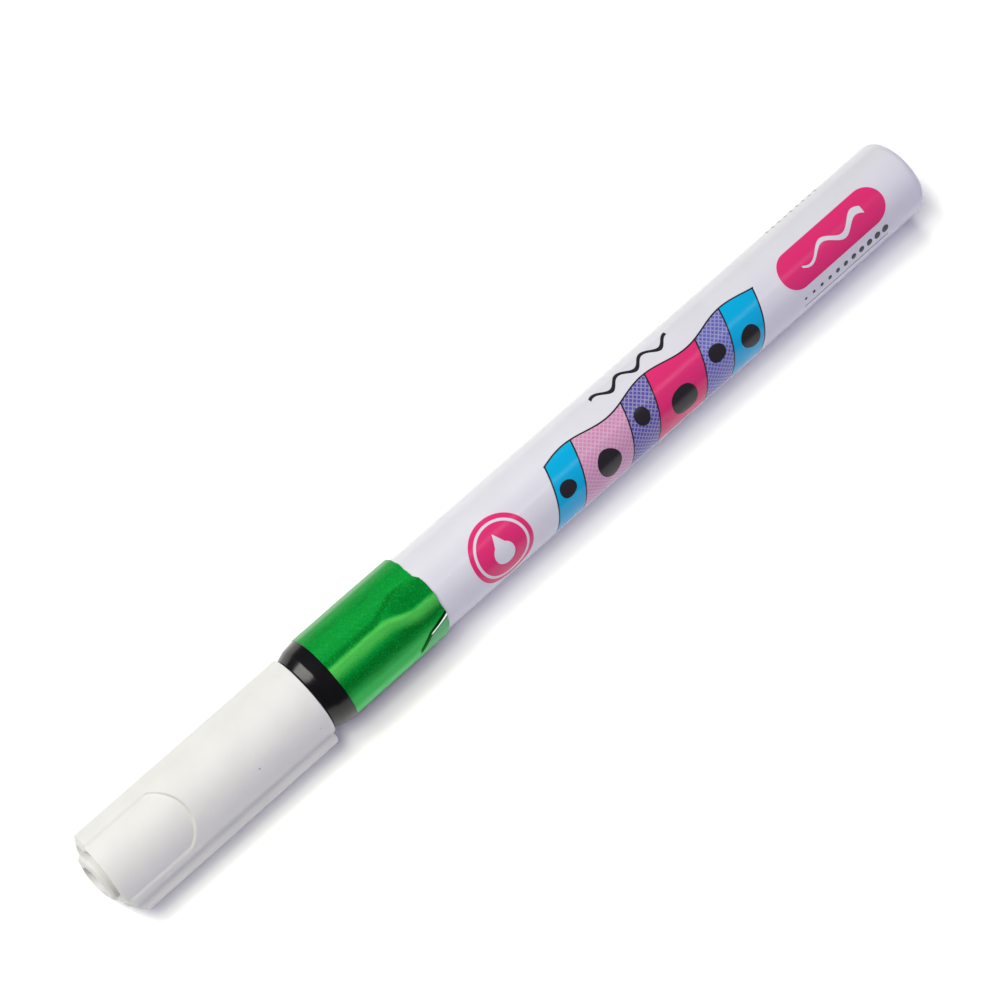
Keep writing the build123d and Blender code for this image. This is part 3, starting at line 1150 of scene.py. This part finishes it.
@dataclass
class ColourBand(Piece):
    """Thin film sleeve with creases, a lifted fold and an uneven rear edge."""

    front_x: float = -56.98
    rear_x: float = -41.3
    radius: float = 5.86
    thickness: float = 0.1
    reach: float = 5.89
    lip: float = 0.02
    rows: int = 130
    inner_rows: int = 16
    columns: int = 384
    seed: int = 11
    whole: tuple[float, ...] = (-0.1, 0.5, 1.1)
    creases: tuple[Crease, ...] = (
        Crease((0.0, 0.38, 0.57, 0.69, 0.86, 1.1), (75, 76.5, 74.5, 66.5, 62.5, 63), 0.2, 0.85, 0.45),
        Crease((-0.1, 0.4, 1.1), (108, 102, 98), 0.1, 1.2, 0.2),
        Crease((0.2, 0.6, 1.1), (88, 92, 86), 0.06, 0.5),
        Crease((-0.1, 0.5, 1.1), (46, 40, 30), 0.09, 1.1, 0.2),
    )
    far_creases: int = 9
    far_side: Span = (140, 330)
    far_bend: float = 14
    far_height: Span = (0.04, 0.14)
    far_width: Span = (0.5, 1.3)
    far_skew: Span = (0, 0.5)
    pressed: float = 0.85
    pressed_from: Span = (0.55, 0.9)
    fold: Crease = Crease((0.675, 0.815, 0.99), (6.6, 24.3, 33.6), 0.17, 0.45, 0.4)
    fold_start: Span = (0.62, 1.0)
    edge_at: tuple[float, ...] = (0, 19, 40, 65, 90, 97, 160, 210, 330, 360)
    edge_back: tuple[float, ...] = (0.75, 0.4, 0.1, 0.0, 0.05, 0.55, 0.55, 0.8, 0.95, 0.75)

    def drawn_creases(self) -> list[Crease]:
        """Creases of the far side, drawn by chance.

        Returns:
            The creases.
        """
        draw = np.random.default_rng(self.seed)
        made = []
        for _ in range(self.far_creases):
            start = draw.uniform(*self.far_side)
            path = start + np.cumsum(draw.uniform(-self.far_bend, self.far_bend, len(self.whole)))
            height, half_width = draw.uniform(*self.far_height), draw.uniform(*self.far_width)
            made.append(Crease(self.whole, path, height, half_width, draw.uniform(*self.far_skew)))
        return made

    def relief(self, s: Array, angle: Array) -> Array:
        """Sum of the creases, pressed low on the floor's side, and the fold, within the marker's reach.

        Args:
            s: Share of the sleeve's length.
            angle: Angle round the axis.

        Returns:
            Height in millimetres.
        """
        creases = (*self.creases, *self.drawn_creases())
        height = sum(crease.ridge(s, angle, self.radius) for crease in creases)
        down = np.cos(angle + math.pi / 2)
        height = height * (1 - self.pressed * smooth_step(down, *self.pressed_from))
        height = height + self.fold.ridge(s, angle, self.radius) * smooth_step(s, *self.fold_start)
        broadest = np.maximum(np.abs(np.sin(angle)), np.maximum(-np.cos(angle), 0.2))
        return np.minimum(height, self.reach / broadest - self.radius)

    def edge(self, angle: Array) -> Array:
        """Rear edge: stations round the sleeve joined by straight runs, with two slow waves on them.

        Args:
            angle: Angle round the axis.

        Returns:
            Place of the edge along the marker.
        """
        waves = 0.04 * np.sin(7 * angle + 2.0) + 0.03 * np.sin(17 * angle)
        return self.rear_x - np.interp(np.degrees(angle), self.edge_at, self.edge_back) - waves

    def skin(self) -> Skin:
        """Loop of rows: outer skin front to rear, then the inner skin back, one thickness below it.

        Returns:
            The closed skin.
        """
        angle = ring_angles(self.columns)[None, :]
        outer = np.linspace(0, 1, self.rows)[:, None]
        inner = np.linspace(1, 0, self.inner_rows)[:, None]
        length = self.edge(angle) - self.front_x
        height = self.radius + self.relief(outer, angle)
        below = self.radius + self.relief(inner, angle) - self.thickness
        lip = height[-1:] - self.thickness / 2
        grid = np.concatenate([
            carried_round(self.front_x + outer * length, height, angle),
            carried_round(self.front_x + length + self.lip, lip, angle),
            carried_round(self.front_x + inner * length, below, angle),
        ])
        return Skin(grid.reshape(-1, 3), grid_quads(len(grid), self.columns, True).reshape(-1, 4)).outward()

    def make(self) -> bpy.types.Object:
        """Builds the sleeve so that its green isn't thrown onto the paper.

        Returns:
            The finished object.
        """
        made = super().make()
        made.visible_diffuse = False
        return made


@dataclass
class Cap(Piece):
    """Moulded cap: tube with a long rib, two arched panels, a coned and vented end, and a hollow boss."""

    mouth_x: float = -60.25
    corner_x: float = -91.42
    floor_x: float = -89.95
    radius: float = 5.6
    bore: float = 4.6
    mouth_round: float = 0.32
    chamfer_x: float = -92.22
    chamfer_radius: float = 4.28
    cone_x: float = -92.45
    boss_x: float = -93.3
    boss_base: float = 3.4
    boss_tip: float = 2.3
    boss_hole: float = 2.0
    rib_narrow_radius: float = 3.3
    rib_height: float = 1.2
    rib_half: float = 1.1
    rib_root: float = 0.45
    rib_round: float = 0.42
    rib_end_x: float = -60.65
    slope_top_x: float = -90.55
    slope_foot_x: float = -92.13
    slope_foot_radius: float = 4.85
    panel_half: float = 4.3
    panel_shift: float = 0.18
    panel_depth: float = 0.3
    panel_step: float = 0.34
    panel_lip_x: float = -91.87
    lip_slant: float = 0.23
    arch_x: float = -79.8
    arch_radius: float = 5.0
    boss_lean: float = 0.5
    rib_foot: float = 13.95
    rib_beside: float = 36.0
    vent_span: Span = (17.0, 170.0)
    vent_radius: float = 4.7
    vent_rows: int = 7

    def rib_columns(self) -> tuple[Array, Array]:
        """Offsets across the rib and the share of its height there: fillet, wall, rounded edge, flat top.

        Returns:
            Offsets from one foot to the other, and height shares.
        """
        a = np.linspace(0, math.pi / 2, 6)
        wall = np.linspace(0, 1, 5)[1:-1]
        low, high = self.rib_root, self.rib_height - self.rib_round
        across = np.concatenate([
            self.rib_half + self.rib_root * (1 - np.sin(a)),
            np.full(3, self.rib_half),
            self.rib_half - self.rib_round * (1 - np.cos(a)),
            (self.rib_half - self.rib_round) * np.array([0.66, 0.33]),
        ])
        height = np.concatenate([
            self.rib_root * (1 - np.cos(a)),
            low + (high - low) * wall,
            high + self.rib_round * np.sin(a),
            np.full(2, self.rib_height),
        ])
        across = np.concatenate([-across, [0], across[::-1]])
        share = np.concatenate([height, [self.rib_height], height[::-1]]) / self.rib_height
        return across, share

    def plain_angles(self) -> Array:
        """Angles from the rib, in degrees, of the columns beside it: closest at the panels' edges.

        Returns:
            Angles from one side of the rib round to the other.
        """
        half = np.concatenate([
            np.linspace(15.5, 34.6, 14),
            np.arange(36, 46.1, 0.4),
            np.linspace(47.7, 132.3, 51),
            np.arange(134, 144.1, 0.4),
            np.linspace(145.6, 178.2, 19),
        ])
        return np.concatenate([half, [180], 360 - half[::-1]])

    def rows(self) -> tuple[Array, Array, Array, dict[str, int]]:
        """Closed profile from the boss's tip outside to the mouth, then back along the bore.

        Returns:
            The plain profile, the profile in a panel's sector, which rows show the rib, and the
            numbers of the rows where the vents, the rim, the side and the hub start or end.
        """
        boss = rounded([
            (self.boss_x + 1.2, self.boss_hole, 0),
            (self.boss_x, self.boss_hole, 0.14),
            (self.boss_x, self.boss_tip, 0.12),
            (self.boss_x + 0.22, 0.16 * self.boss_tip + 0.84 * self.boss_base, 0.5),
            (self.cone_x, self.boss_base, 0.2),
            (self.cone_x + 0.1, self.boss_base, 0),
        ], 8)[:-1]
        vent_radius = np.linspace(self.boss_base + 0.05, self.vent_radius, self.vent_rows)
        cone_radius = (self.boss_base, self.chamfer_radius, self.radius)
        vent_x = np.interp(vent_radius, cone_radius, (self.cone_x, self.chamfer_x, self.corner_x))
        vent = np.stack([vent_x, vent_radius], -1)
        wall_x = self.corner_x + 0.25
        recess = self.radius - self.panel_depth
        rim = rounded([
            (vent_x[-1], self.vent_radius, 0),
            (self.corner_x, self.radius, 0.24),
            (wall_x, self.radius, 0),
        ])
        lip = rounded([
            (self.panel_lip_x, self.bore, 0),
            (self.panel_lip_x, recess, 0.16),
            (wall_x, recess, 0),
        ])
        rim, lip = (resampled(line, 12)[1:] for line in (rim, lip))
        rib_start = self.rib_end_x - np.array([0.42, 0.36, 0.3, 0.24, 0.18, 0.12, 0.07, 0.03, 0.01, -0.01])
        side_x = np.concatenate([
            np.arange(wall_x + 0.4, -83.2, 0.4),
            np.arange(-83.1, -79.3, 0.065),
            np.arange(-78.6, self.rib_end_x - 0.9, 0.9),
            rib_start,
        ])
        mouth = rounded([
            (self.mouth_x - 0.36, self.radius, 0),
            (self.mouth_x, self.radius, self.mouth_round),
            (self.mouth_x, self.bore, 0.2),
            (self.mouth_x - 0.6, self.bore, 0),
        ], 9)
        side = level(side_x, self.radius)
        bore = level(np.linspace(self.mouth_x - 2, self.floor_x + 0.3, 12), self.bore)
        floor_radius = np.linspace(self.bore, self.boss_base + 0.05, self.vent_rows)
        floor = np.stack([np.full(self.vent_rows, self.floor_x), floor_radius], -1)
        hole = level(np.linspace(self.floor_x, self.boss_x + 1.4, 5), self.boss_hole)
        parts = [boss, vent, rim, side, mouth, bore, floor, hole]
        plain = np.concatenate(parts)
        start = np.cumsum([0] + [len(part) for part in parts])
        panel = plain.copy()
        panel[start[2]:start[3]] = lip
        panel[start[3]:start[4], 1] = recess
        panel[start[2] - 1] = (self.panel_lip_x, self.bore)
        ribbed = np.zeros(len(plain))
        ribbed[start[1]:start[4]] = 1
        marks = {"out": start[1], "rim": start[2] - 1, "side": start[3], "hub": start[7] - 1}
        return plain, panel, ribbed, marks

    def rib_rise(self, x: Array, radius: Array) -> Array:
        """Height of the rib over the plain profile: full, sloped at the coned end, rounded at the mouth.

        Args:
            x: Places along the marker.
            radius: The plain profile's radii there.

        Returns:
            Heights.
        """
        tip = self.radius + self.rib_height
        fall = (tip - self.slope_foot_radius) / (self.slope_top_x - self.slope_foot_x)
        top = np.minimum(tip, tip - (self.slope_top_x - x) * fall)
        top = np.where(x < self.slope_foot_x, radius, top)
        back = self.rib_end_x - x
        corner = np.sqrt(np.maximum(self.rib_round**2 - np.maximum(self.rib_round - back, 0) ** 2, 0))
        limit = np.where(back < 0, 0, self.rib_height - self.rib_round + corner)
        return np.clip(np.minimum(top - radius, np.where(back < self.rib_round, limit, tip)), 0, None)

    def vent_walls(self, cells: Array, marks: dict[str, int], columns: Array) -> tuple[Array, Array]:
        """Opens one vent through the end wall and joins the outer and inner rims by straight walls.

        Args:
            cells: The grid's corner numbers, by row and column.
            marks: Row numbers of the vent outside and inside.
            columns: First and last column of the vent.

        Returns:
            A mask of the cells that go, and the wall's quads.
        """
        count = cells.shape[1]
        k0, k1 = columns
        out = marks["out"] + np.arange(self.vent_rows)
        back = marks["hub"] - np.arange(self.vent_rows)
        gone = np.zeros(cells.shape[:2], bool)
        gone[out[0]:out[-1], k0:k1] = True
        gone[back[-1]:back[0], k0:k1] = True
        k = np.arange(k0, k1)

        def quad(a: Array, b: Array, c: Array, d: Array) -> Array:
            """Quads of four rows of corner numbers."""
            return np.stack(np.broadcast_arrays(a, b, c, d), -1)

        o, f = out * count, back * count
        walls = [
            quad(o[0] + k, o[0] + k + 1, f[0] + k + 1, f[0] + k),
            quad(o[-1] + k + 1, o[-1] + k, f[-1] + k, f[-1] + k + 1),
            quad(o[1:] + k0, o[:-1] + k0, f[:-1] + k0, f[1:] + k0),
            quad(o[:-1] + k1, o[1:] + k1, f[1:] + k1, f[:-1] + k1),
        ]
        return gone, np.concatenate(walls)

    def panel_blend(self, plain: Array, degrees: Array, ribs: int, side: int) -> Array:
        """How far each point lies in a panel: 1 inside, smooth steps at its sides and its arch.

        Args:
            plain: The plain profile.
            degrees: Angles of the columns beside the rib.
            ribs: Count of the rib's columns.
            side: Number of the side wall's first row.

        Returns:
            Shares by row and column.
        """
        half, step = self.panel_half, self.panel_step
        sideways = abs(self.radius * np.cos(np.radians(degrees)) - self.panel_shift)
        lateral = led_by(ribs, 0, 1 - smooth_step(sideways, half - step / 2, half + step / 2))
        sag = self.arch_radius - np.sqrt(self.arch_radius**2 - np.minimum(sideways, half) ** 2)
        arch = self.arch_x - led_by(ribs, 0, sag)
        along = 1 - smooth_step(plain[:, :1], arch - step, arch)
        return lateral * np.where(np.arange(len(plain))[:, None] >= side, along, 1.0)

    def skin(self) -> Skin:
        """Carries the profile round, sunk in the panels' sectors; rib columns rise by their share.

        A panel's lip slants across it, the boss leans back on the viewer's side, the columns beside the
        rib close up to its foot, and the vents go through the end wall.

        Returns:
            The closed skin.
        """
        plain, panel, ribbed, marks = self.rows()
        across, share = self.rib_columns()
        degrees = self.plain_angles()
        ribs = len(across)
        count = ribs + len(degrees)
        blend = self.panel_blend(plain, degrees, ribs, marks["side"])
        along, reach = plain[:, :1], plain[:, 1:]
        number = np.arange(len(plain))[:, None]
        ending = (number < marks["side"]) & (number >= marks["rim"])
        slant = led_by(ribs, 0, -self.lip_slant * np.cos(np.radians(degrees)))
        x = along + blend * ((panel - plain)[:, :1] + slant * ending)
        facing = led_by(ribs, 1, 1 + np.cos(np.radians(degrees) + VIEW_RISE + RIB_FALL)) / 2
        tip = np.clip((self.cone_x - along) / (self.cone_x - self.boss_x), 0, 1)
        x = x + self.boss_lean * tip * facing
        offset = across[None, :] * np.minimum(1, reach / self.rib_narrow_radius)
        foot = np.degrees(np.arcsin(np.abs(offset[:, :1]) / reach))
        near = np.minimum(degrees, 360 - degrees)[None, :]
        closed = (near - self.rib_foot) * (self.rib_beside - foot) / (self.rib_beside - self.rib_foot)
        near = np.where(near < self.rib_beside, foot + closed, near)
        turn = np.radians(np.where(degrees < 180, near, 360 - near))
        rise = self.rib_rise(plain[:, 0], plain[:, 1]) * ribbed
        ridge = np.sqrt(reach**2 - offset**2) + share[None, :] * rise[:, None]
        beside = (reach + blend * (panel - plain)[:, 1:])[:, ribs:]
        side = np.concatenate([offset, beside * np.sin(turn)], 1)
        out = np.concatenate([ridge, beside * np.cos(turn)], 1)
        tilt = RIB_FALL - math.pi / 2
        y = side * math.cos(tilt) + out * math.sin(tilt)
        z = side * math.sin(tilt) - out * math.cos(tilt)
        cells = grid_quads(len(plain), count, True)
        keep = np.ones(cells.shape[:2], bool)
        walls = []
        low, high = self.vent_span
        for span in ((low, high), (360 - high, 360 - low)):
            edges = np.searchsorted(degrees, np.array(span) - 0.1)
            gone, wall = self.vent_walls(cells, marks, edges + ribs)
            keep &= ~gone
            walls.append(wall)
        points = np.stack([x, y, z], -1).reshape(-1, 3)
        return Skin(points, np.concatenate([cells[keep], *walls])).outward()


@dataclass
class ValveSpring(Piece):
    """Round wire wound on a helix."""

    coil: float = 1.55
    wire: float = 0.2
    turns: float = 6.0
    front_x: float = -56.61
    rear_x: float = -47.17
    anchor_x: float = -46.95
    travel: float = 1.5
    rows: int = 360
    columns: int = 12

    def skin(self) -> Skin:
        """Circle of the wire's radius carried along the helix, with a fan over each cut end.

        Returns:
            The closed skin.
        """
        s = np.linspace(0, 1, self.rows)[:, None]
        turn = s * self.turns * TURN
        outward = np.concatenate([0 * s, -np.cos(turn), np.sin(turn)], 1)
        centre = outward * self.coil
        centre[:, :1] = self.front_x + s * (self.rear_x - self.front_x)
        along = np.gradient(centre, axis=0)
        along /= np.linalg.norm(along, axis=1, keepdims=True)
        beside = np.cross(along, outward)
        a = ring_angles(self.columns)[None, :, None]
        grid = centre[:, None] + self.wire * (np.cos(a) * outward[:, None] + np.sin(a) * beside[:, None])
        points = np.concatenate([grid.reshape(-1, 3), centre[:1], centre[-1:]])
        quads = grid_quads(self.rows, self.columns, False).reshape(-1, 4)
        return Skin(points, quads, end_fans(self.rows, self.columns)).outward()

    def make(self) -> bpy.types.Object:
        """Builds the spring and gives it its own copy of its mesh.

        Returns:
            The finished object.
        """
        made = super().make()
        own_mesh(made)
        return made


@dataclass
class InnerParts:
    """CAD nodes that stay as they are and only get finishes."""

    finishes: dict[str, Finish]

    def dress(self) -> None:
        """Gives each node its material."""
        for node, finish in self.finishes.items():
            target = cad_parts[node]
            target.data.materials.clear()
            target.data.materials.append(finish.material(node + "_finish"))
            LOG.info("%s: dressed", node)


# Stage


@dataclass(frozen=True)
class Lamp:
    """A softbox that faces the marker; a mirrored one only shows in reflections."""

    name: str
    place: Place
    sides: Span
    radiance: float
    tint: Colour = (1.0, 1.0, 1.0)
    mirrored: bool = False
    aim: Place = (-25.0, 0.0, 0.0)

    def make(self) -> bpy.types.Object:
        """Links the lamp, with one pair of its sides along the marker.

        Returns:
            The lamp.
        """
        back = (Vector(self.place) - Vector(self.aim)).normalized()
        side = (Vector((1, 0, 0)) - back * back.x).normalized()
        data = bpy.data.lights.new(self.name, "AREA")
        data.shape = "RECTANGLE"
        data.size, data.size_y = self.sides[0] * MM, self.sides[1] * MM
        data.energy = self.radiance * math.pi * data.size * data.size_y
        data.color = self.tint
        made = bpy.data.objects.new(self.name, data)
        turn = Matrix((side, back.cross(side), back)).transposed().to_4x4()
        made.matrix_world = Matrix.Translation(Vector(self.place) * MM) @ turn
        made.visible_glossy = self.mirrored
        made.visible_diffuse = not self.mirrored
        made.visible_camera = False
        bpy.context.scene.collection.objects.link(made)
        return made


LAVENDER = (1.2, 1.0, 2.35)
VIOLET = (1.35, 1.0, 2.5)
WARM = (1.0, 1.0, 0.88)
MILD = (0.995, 1.0, 0.94)
COOL = (0.95, 1.0, 0.98)
CREAM = (1.0, 0.97, 0.9)

OVERHEAD = (160, 160)
LOW = (420, 420)


@dataclass
class Studio:
    """Floor, lamps, sky and camera."""

    floor_z: float = -5.9
    floor_half: float = 1500.0
    floor_rows: int = 9
    lens_px: float = 2600.0
    image_px: float = 1000.0
    sensor: float = 36.0
    clip: Span = (0.01, 20.0)
    azimuth: float = -43.43
    elevation: float = 68.17
    distance: float = 326.885
    shift_right: float = -20.317
    shift_up: float = -14.984
    sky: Colour = (0.02, 0.02, 0.024)
    lamps: tuple[Lamp, ...] = (
        Lamp("over_1", (-180, -180, 450), OVERHEAD, 1.3),
        Lamp("over_2", (-180, -50, 450), OVERHEAD, 10.7, MILD),
        Lamp("over_3", (-180, 80, 450), OVERHEAD, 12.4, WARM),
        Lamp("over_4", (-180, 210, 450), OVERHEAD, 10.4, MILD),
        Lamp("over_5", (-180, 360, 450), OVERHEAD, 1.5),
        Lamp("rear_1", (60, 210, 450), OVERHEAD, 6.3, WARM),
        Lamp("rear_2", (60, 360, 450), OVERHEAD, 6.4, COOL),
        Lamp("low_left", (-459, 459, 262), LOW, 0.45, VIOLET),
        Lamp("low_side", (0, -649, 262), LOW, 0.25),
        Lamp("low_corner", (459, -459, 262), LOW, 1.3, LAVENDER),
        Lamp("patch", (-380, 352, 545), (250, 640), 8.6, CREAM, mirrored=True),
        Lamp("strip", (200, -300, 620), (320, 120), 2.4, mirrored=True),
    )

    def floor(self) -> bpy.types.Object:
        """A wide flat sheet under the marker.

        Returns:
            The floor.
        """
        side = np.linspace(-self.floor_half, self.floor_half, self.floor_rows)
        x, y = np.meshgrid(side, side, indexing="ij")
        points = np.stack([x, y, np.full_like(x, self.floor_z)], -1).reshape(-1, 3)
        quads = grid_quads(self.floor_rows, self.floor_rows, False, False).reshape(-1, 4)[:, ::-1]
        made = Skin(points, quads).to_object("floor")
        made.data.materials.append(PaperSweep().material("floor_paper"))
        return made

    def light(self) -> None:
        """The lamps and a nearly dark sky."""
        for lamp in self.lamps:
            lamp.make()
        world = bpy.data.worlds.new("studio")
        world.use_nodes = True
        backdrop = world.node_tree.nodes["Background"]
        backdrop.inputs["Color"].default_value = (*self.sky, 1)
        bpy.context.scene.world = world

    def camera(self) -> None:
        """Level camera that looks steeply down across the marker."""
        a, e = math.radians(self.azimuth), math.radians(self.elevation)
        right = Vector((math.cos(a), math.sin(a), 0))
        back = Vector((math.sin(a) * math.cos(e), -math.cos(a) * math.cos(e), math.sin(e)))
        up = back.cross(right)
        place = self.shift_right * right + self.shift_up * up + self.distance * back
        data = bpy.data.cameras.new("camera")
        data.sensor_width = self.sensor
        data.lens = self.sensor * self.lens_px / self.image_px
        data.clip_start, data.clip_end = self.clip
        made = bpy.data.objects.new("camera", data)
        made.matrix_world = Matrix.Translation(place * MM) @ Matrix((right, up, back)).transposed().to_4x4()
        bpy.context.scene.collection.objects.link(made)
        bpy.context.scene.camera = made

    def make(self) -> None:
        """Sets the stage."""
        self.floor()
        self.light()
        self.camera()
        bpy.context.scene.view_settings.view_transform = "Standard"
        LOG.info("studio: floor, lights and camera")


CAP_SPECKS = (((-70.6, -4.13, 3.79), 0.17), ((-61.9, -5.03, 2.45), 0.1))
WHITE_CAP = MouldedPlastic((0.555, 0.552, 0.54), 0.5, specks=CAP_SPECKS)
BLACK_GLOSS = MouldedPlastic((0.005, 0.005, 0.006), 0.2, grain_size=0.3, relief=0.05, specular=0.32)
NATURAL = MouldedPlastic((0.72, 0.72, 0.69), 0.45)
LINER = MouldedPlastic((0.78, 0.78, 0.75), 0.4, grain_size=0.2, relief=0.15)
NIB_FIBRE = PressedFibre((0.74, 0.72, 0.66), (0.02, 0.26, 0.06), stain_start=-77.0, stain_end=-80.5)
WICK_FELT = PressedFibre((0.7, 0.69, 0.64), (0.03, 0.3, 0.08), stain_start=-60.0, stain_end=-66.0)


def main() -> None:
    """Builds the pieces in order, then the stage."""
    logging.basicConfig(level=logging.INFO, format="%(name)s %(message)s")
    Barrel("can", "barrel", Body.HOLDER, Slot.LACQUER, PrintedLacquer()).make()
    FrontSection("section", "front_section", Body.HOLDER, Slot.BLACK, BLACK_GLOSS).make()
    ColourBand("film_sleeve", "colour_band", Body.HOLDER, Slot.FILM, CreasedFilm()).make()
    Nib("fibre_nib", "nib", Body.NIB, Slot.NIB, NIB_FIBRE).make()
    Cap("ribbed_cap", "cap_shell", Body.CAP, Slot.WHITE, WHITE_CAP).make()
    ValveSpring("coil_spring", "valve_spring", Body.HOLDER, Slot.SPRING, WetSteel()).make()
    InnerParts({
        "wick_ring": WICK_FELT,
        "valve_body": NATURAL,
        "flange_gasket": SoftRubber(),
        "valve_plunger": NATURAL,
        "plunger_seal": SoftRubber(),
        "valve_retainer": NATURAL,
        "mixing_ball": WetSteel(wet_share=0.6),
        "inner_cap": LINER,
    }).dress()
    Studio().make()


if __name__ == "__main__":
    main()
